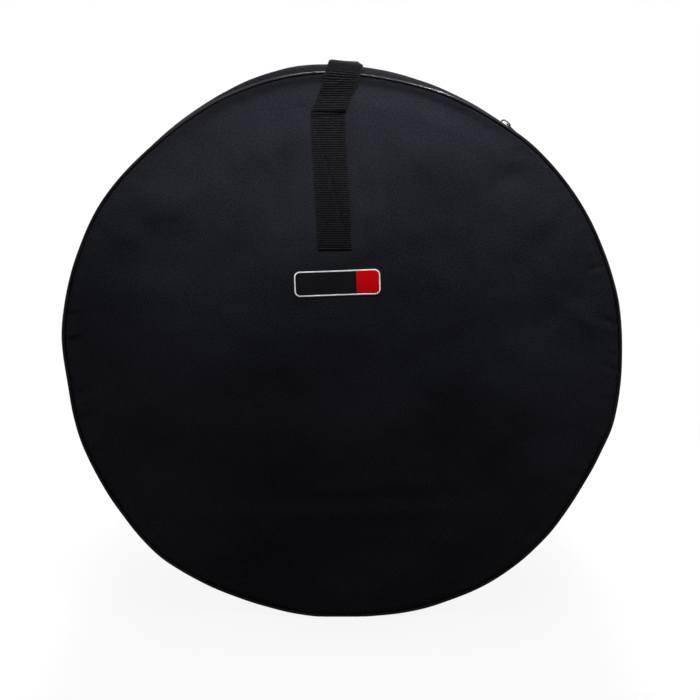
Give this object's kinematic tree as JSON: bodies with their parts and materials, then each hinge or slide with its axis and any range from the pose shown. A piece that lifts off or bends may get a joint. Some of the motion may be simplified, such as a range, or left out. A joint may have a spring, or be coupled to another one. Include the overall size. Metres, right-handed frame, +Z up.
{
  "type": "bass drum bag",
  "caption": "Padded round soft case for a bass drum: zipped front lid with piped rims, webbing carry strap over the top and a bare sewn patch.",
  "frame": {"origin": "on the floor, under the middle of the bag as it stands on its rim", "axes": "+Z up, -Y out of the zipped front panel, +X to the right of someone facing the front"},
  "size_m": [0.6278, 0.4935, 0.626],
  "materials": {
    "outer_fabric": "woven polyester, near black, faint blue",
    "foam": "closed-cell foam sheet, grey",
    "lining": "smooth nylon lining",
    "piping_vinyl": "glossy black vinyl over cord",
    "zip_tape": "herringbone zip tape and binding",
    "zip_coil": "nylon coil",
    "black_metal": "black-coated zinc",
    "webbing": "ribbed polypropylene webbing",
    "patch": "embroidered patch, bare fields with a pale border"
  },
  "bodies": {
    "shell": {"gusset_fabric": "outer_fabric", "gusset_padding": "foam", "gusset_lining": "lining", "rear_panel": "outer_fabric", "rear_padding": "foam", "rear_lining": "lining", "rear_piping": "piping_vinyl", "rear_seam_binding": "zip_tape", "body_zip_tape": "zip_tape", "body_zip_coil": "zip_coil", "zip_stop_right": "black_metal", "zip_stop_left": "black_metal", "hinge_panel": "outer_fabric", "zip_end_tab_right": "outer_fabric", "zip_end_tab_left": "outer_fabric", "handle_front_end": "webbing", "rear_strap_rise": "webbing", "rear_strap": "webbing"},
    "lid": {"front_panel": "outer_fabric", "front_padding": "foam", "front_lining": "lining", "front_piping": "piping_vinyl", "front_seam_binding": "zip_tape", "lid_collar": "outer_fabric", "lid_zip_tape": "zip_tape", "lid_zip_coil": "zip_coil", "front_strap": "webbing", "front_strap_rise": "webbing", "label_patch": "patch"},
    "slider": {"zip_slider": "black_metal"},
    "pull": {"zip_pull": "black_metal"},
    "handle": {"handle_span": "webbing"}
  },
  "joints": [
    {"name": "lid_hinge", "type": "hinge", "parent": "shell", "child": "lid", "pos_m": [0, -0.213, 0.6265], "axis": [-1, 0, 0], "range_deg": [0, 110]},
    {"name": "zip_travel", "type": "hinge", "parent": "shell", "child": "slider", "pos_m": [0, -0.213, 0.3075], "axis": [0, 1, 0], "range_deg": [0, 288]},
    {"name": "pull_tilt", "type": "hinge", "parent": "slider", "child": "pull", "pos_m": [0.18485, -0.213, 0.55885], "axis": [0, -1, 0], "range_deg": [0, 160]},
    {"name": "handle_lift", "type": "slide", "parent": "shell", "child": "handle", "axis": [0, 0, 1], "range_m": [0, 0.035]}
  ]
}
